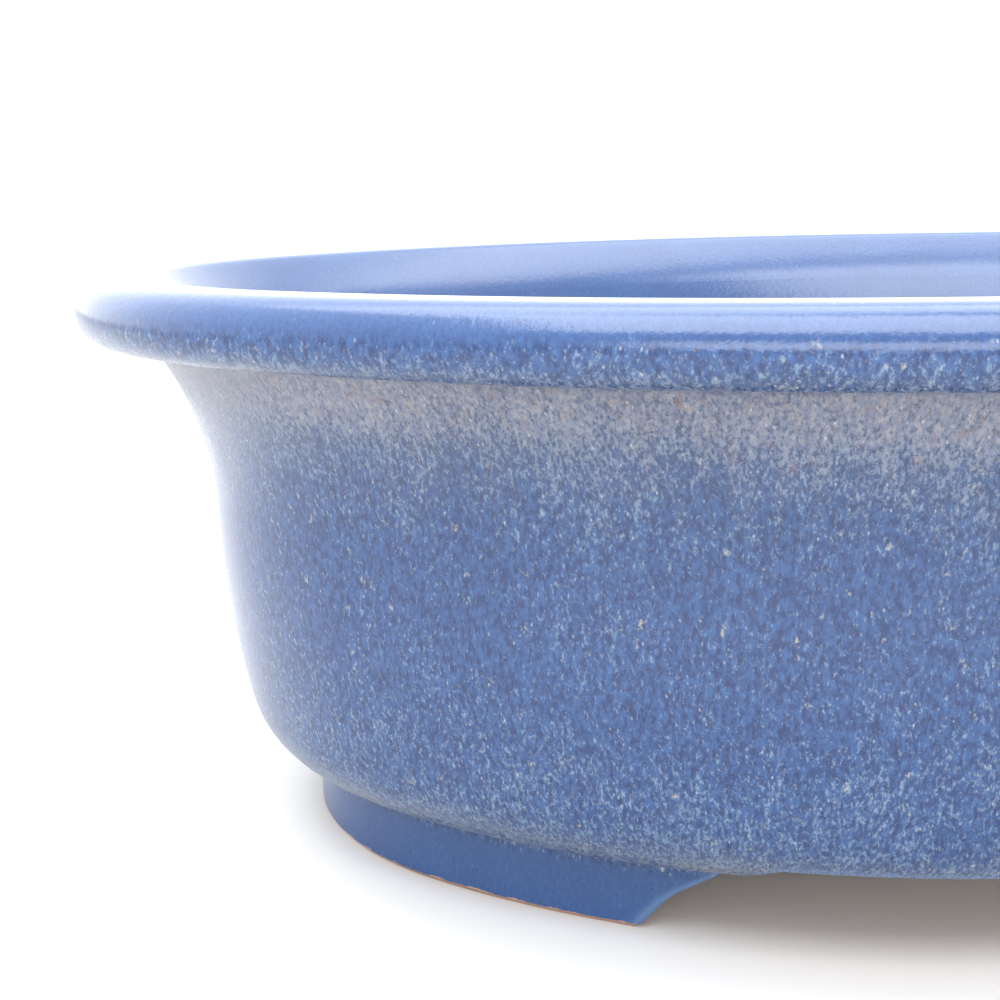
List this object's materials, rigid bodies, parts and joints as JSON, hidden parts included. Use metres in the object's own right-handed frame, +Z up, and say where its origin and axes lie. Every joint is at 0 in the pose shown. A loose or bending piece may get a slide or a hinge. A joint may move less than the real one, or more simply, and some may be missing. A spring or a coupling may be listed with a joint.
{
  "type": "bonsai pot",
  "caption": "Shallow oval glazed pot with a flat everted lip, a hollow neck, arched feet, and screened drain holes in its floor.",
  "frame": {"origin": "centre of the ground plane under the feet", "axes": "+X along the pot's length, +Y across it, +Z up through the open top"},
  "size_m": [0.218, 0.166, 0.07],
  "materials": {
    "blue_glaze": "satin blue glaze with pale specks, beige where it runs thin",
    "bare_clay": "unglazed brown stoneware",
    "screen_mesh": "moulded plastic mesh",
    "clip_wire": "soft annealed wire"
  },
  "bodies": {
    "root": {"rim_lip": "blue_glaze", "wall": "blue_glaze", "floor": "bare_clay", "foot_left": "blue_glaze", "foot_right": "blue_glaze", "drain_screen_left": "screen_mesh", "drain_screen_right": "screen_mesh", "screen_clip_left": "clip_wire", "screen_clip_right": "clip_wire"}
  },
  "joints": []
}
